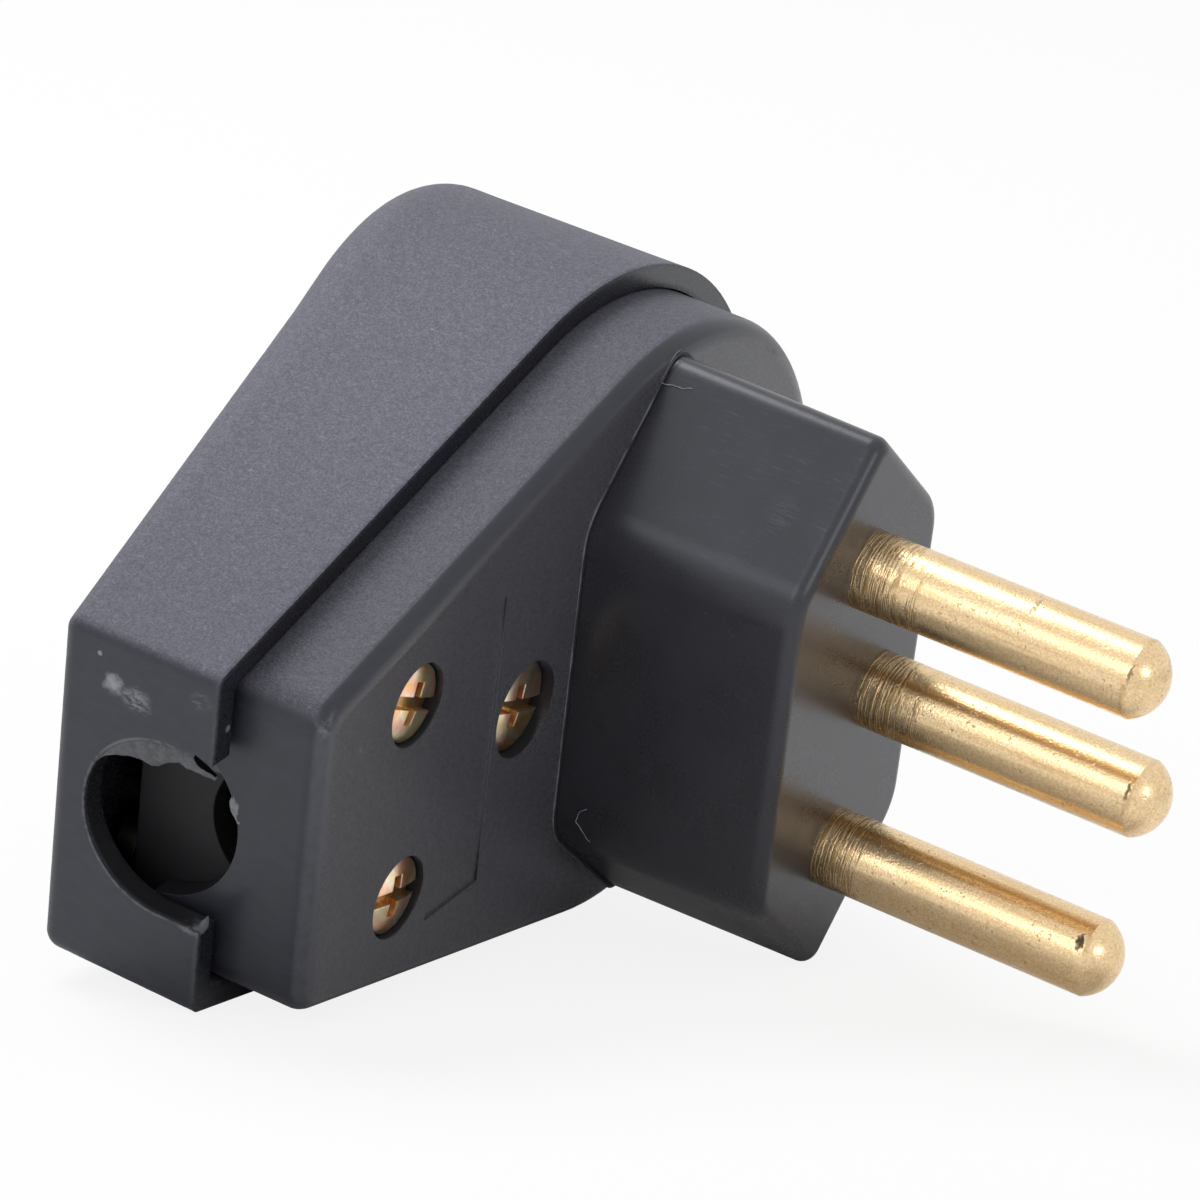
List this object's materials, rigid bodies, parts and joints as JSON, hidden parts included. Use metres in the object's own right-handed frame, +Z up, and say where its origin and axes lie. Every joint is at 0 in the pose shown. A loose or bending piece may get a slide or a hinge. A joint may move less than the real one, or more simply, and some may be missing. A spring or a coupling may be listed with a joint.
{
  "type": "angled mains plug",
  "caption": "Right-angle rewirable mains plug: teardrop two-shell body with a cord hole at its narrow end and a hexagonal nose that carries round brass pins.",
  "frame": {"origin": "middle of the bounding box's footprint, on the floor", "axes": "+Z up as the plug lies; +X the way the pins point, dipping towards the floor; +Y from the cord end towards the round end"},
  "size_m": [0.0606, 0.059, 0.0429],
  "materials": {
    "cover_plastic": "fine spark-eroded grain",
    "base_plastic": "fine grain on the side wall, smooth face",
    "nose_plastic": "smooth, semi-gloss",
    "clamp_plastic": "smooth",
    "pin_brass": "turned and polished",
    "zinc_screw": "yellow passivated zinc",
    "terminal_screw": "zinc plated"
  },
  "bodies": {
    "root": {"rear_cover": "cover_plastic", "front_base": "base_plastic", "pin_carrier": "nose_plastic", "line_pin": "pin_brass", "line_terminal_screw": "terminal_screw", "neutral_pin": "pin_brass", "neutral_terminal_screw": "terminal_screw", "earth_pin": "pin_brass", "earth_terminal_screw": "terminal_screw", "cord_clamp": "clamp_plastic", "clamp_screw_upper": "zinc_screw", "clamp_screw_lower": "zinc_screw", "housing_screw_upper": "zinc_screw", "housing_screw_lower": "zinc_screw", "housing_screw_nose": "zinc_screw"}
  },
  "joints": []
}
